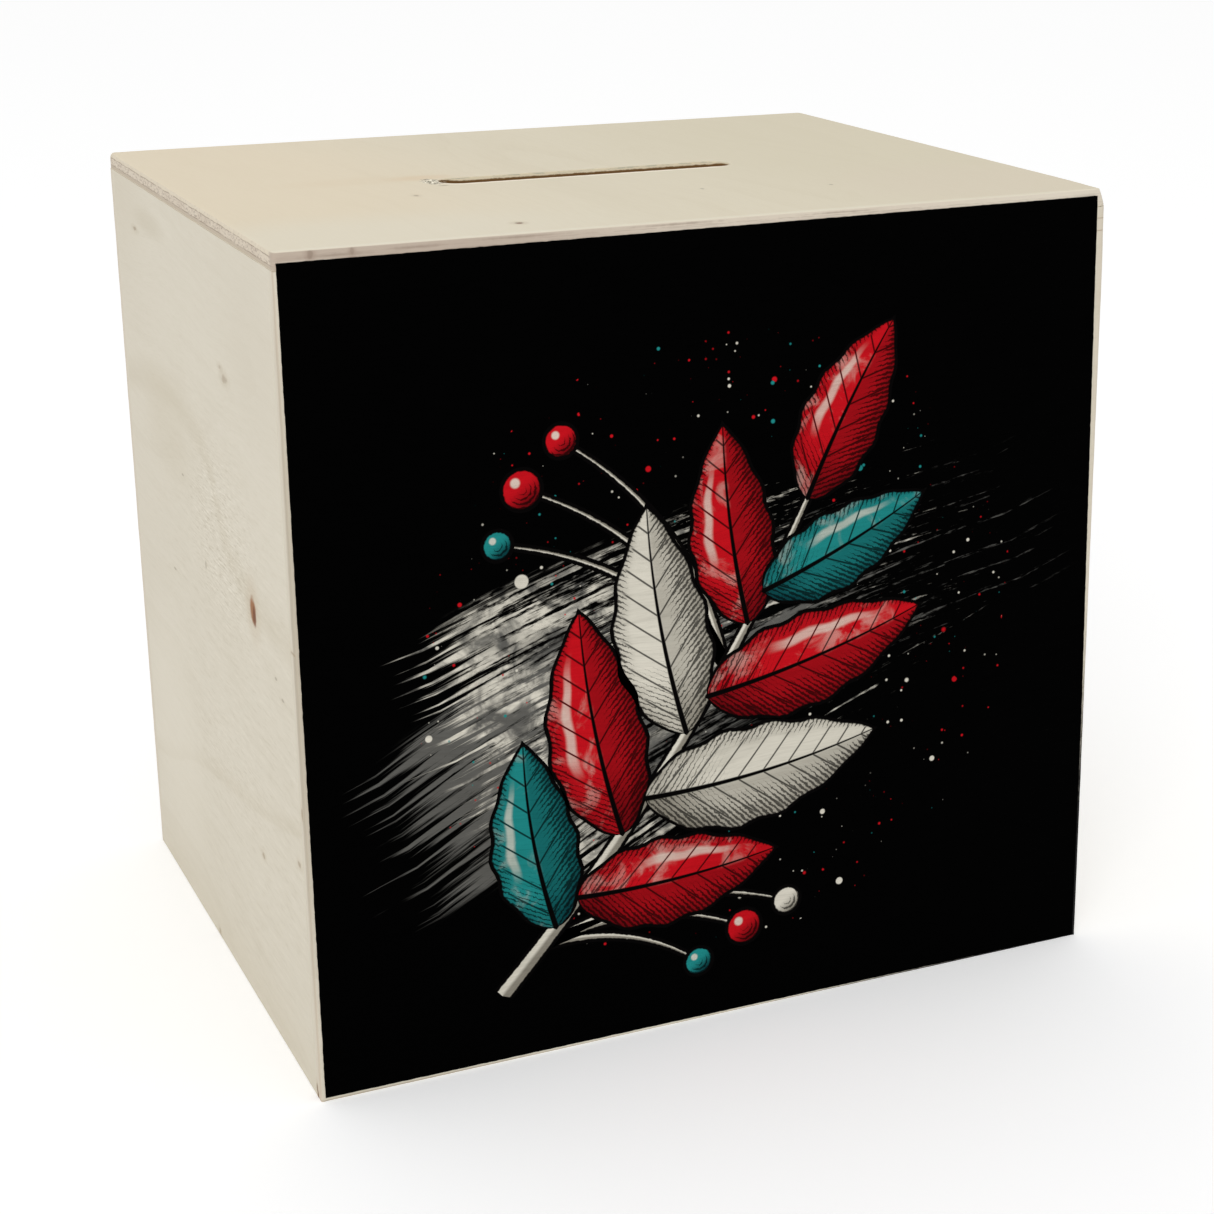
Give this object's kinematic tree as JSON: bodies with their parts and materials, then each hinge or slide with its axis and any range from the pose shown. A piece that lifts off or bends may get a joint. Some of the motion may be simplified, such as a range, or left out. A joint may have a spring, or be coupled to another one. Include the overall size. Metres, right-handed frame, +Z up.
{
  "type": "money box",
  "caption": "Box-shaped plywood money box with a long round-ended coin slot in the top, a printed front and a pull-out stopper in the base.",
  "frame": {"origin": "middle of the footprint, on the table that the walls stand on", "axes": "+Z up, +X to the right along the printed front, +Y from the front to the back"},
  "size_m": [0.15, 0.1221, 0.145],
  "materials": {
    "plywood": "bare sanded plywood, matte",
    "strip_wood": "bare planed softwood strip",
    "stopper_plastic": "soft matte moulded plastic",
    "print_ink": "cured print ink, satin, wood grain showing through"
  },
  "bodies": {
    "box": {"top_panel": "plywood", "front_panel": "plywood", "back_panel": "plywood", "left_side_panel": "plywood", "right_side_panel": "plywood", "base_panel": "plywood", "base_rail_front": "strip_wood", "base_rail_back": "strip_wood", "base_rail_left": "strip_wood", "base_rail_right": "strip_wood", "corner_batten_front_left": "strip_wood", "corner_batten_front_right": "strip_wood", "corner_batten_back_left": "strip_wood", "corner_batten_back_right": "strip_wood", "front_print": "print_ink"},
    "stopper": {"base_stopper": "stopper_plastic"}
  },
  "joints": [
    {"name": "stopper_pull", "type": "slide", "parent": "box", "child": "stopper", "axis": [0, 0, -1], "range_m": [0, 0.018]}
  ]
}
